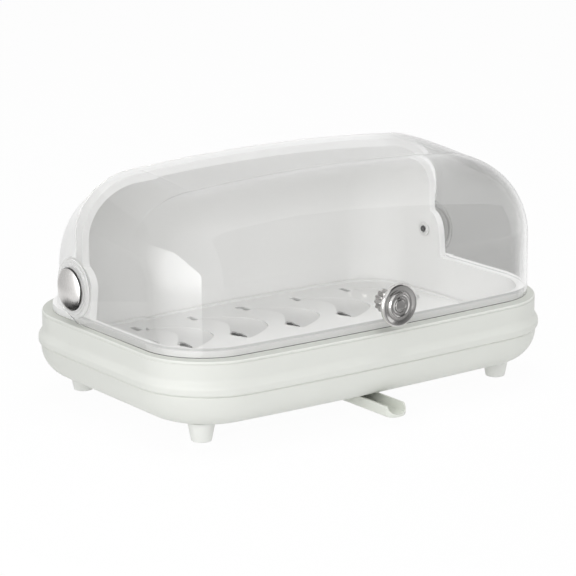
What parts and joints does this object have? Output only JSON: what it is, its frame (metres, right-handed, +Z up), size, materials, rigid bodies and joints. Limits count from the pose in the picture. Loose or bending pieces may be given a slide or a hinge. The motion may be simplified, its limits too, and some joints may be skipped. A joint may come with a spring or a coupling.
{
  "type": "cup storage box",
  "caption": "White cup storage box with a draining base, a curved white hood, a clear lid that swings up and back, a lift-out drip tray and a drain spout",
  "frame": {"origin": "on the worktop, under the middle of the whole outline, the spout's tip included", "axes": "+X along the length, to the right as seen from the front; +Y from the front to the rear; +Z up"},
  "size_m": [0.4, 0.2832, 0.203],
  "materials": {
    "base_ivory": "warm off-white moulded plastic, satin",
    "hood_white": "cool white moulded plastic, satin",
    "tray_grey_white": "light grey-white moulded plastic",
    "lid_clear": "clear moulded plastic",
    "satin_nickel": "satin nickel plating",
    "screw_steel": "plain steel screws",
    "bush_white": "white nylon",
    "pad_rubber": "pale soft rubber"
  },
  "bodies": {
    "base": {"base_basin": "base_ivory", "hood": "hood_white", "spout_rail_left": "base_ivory", "spout_rail_right": "base_ivory", "rail_screw_left_front": "screw_steel", "rail_screw_left_rear": "screw_steel", "rail_screw_right_front": "screw_steel", "rail_screw_right_rear": "screw_steel", "foot_front_left": "base_ivory", "foot_front_right": "base_ivory", "foot_rear_left": "base_ivory", "foot_rear_right": "base_ivory", "foot_pad_front_left": "pad_rubber", "foot_pad_front_right": "pad_rubber", "foot_pad_rear_left": "pad_rubber", "foot_pad_rear_right": "pad_rubber", "pivot_cap_left": "satin_nickel", "pivot_cap_right": "satin_nickel", "pivot_bush_left": "bush_white", "pivot_bush_right": "bush_white", "pivot_screw_left": "screw_steel", "pivot_screw_right": "screw_steel"},
    "lid_body": {"lid": "lid_clear", "knob_collar": "satin_nickel", "knob_body": "satin_nickel", "knob_centre": "satin_nickel", "knob_washer": "bush_white", "knob_screw": "screw_steel"},
    "tray_body": {"drip_tray": "tray_grey_white"},
    "spout_body": {"drain_spout": "base_ivory"}
  },
  "joints": [
    {"name": "lid_hinge", "type": "hinge", "parent": "base", "child": "lid_body", "pos_m": [0, 0.04543, 0.104], "axis": [-1, 0, 0], "range_deg": [0, 90]},
    {"name": "tray_lift", "type": "slide", "parent": "base", "child": "tray_body", "axis": [0, 0, 1], "range_m": [0, 0.04]},
    {"name": "spout_slide", "type": "slide", "parent": "base", "child": "spout_body", "axis": [0, 1, 0], "range_m": [0, 0.035]}
  ]
}
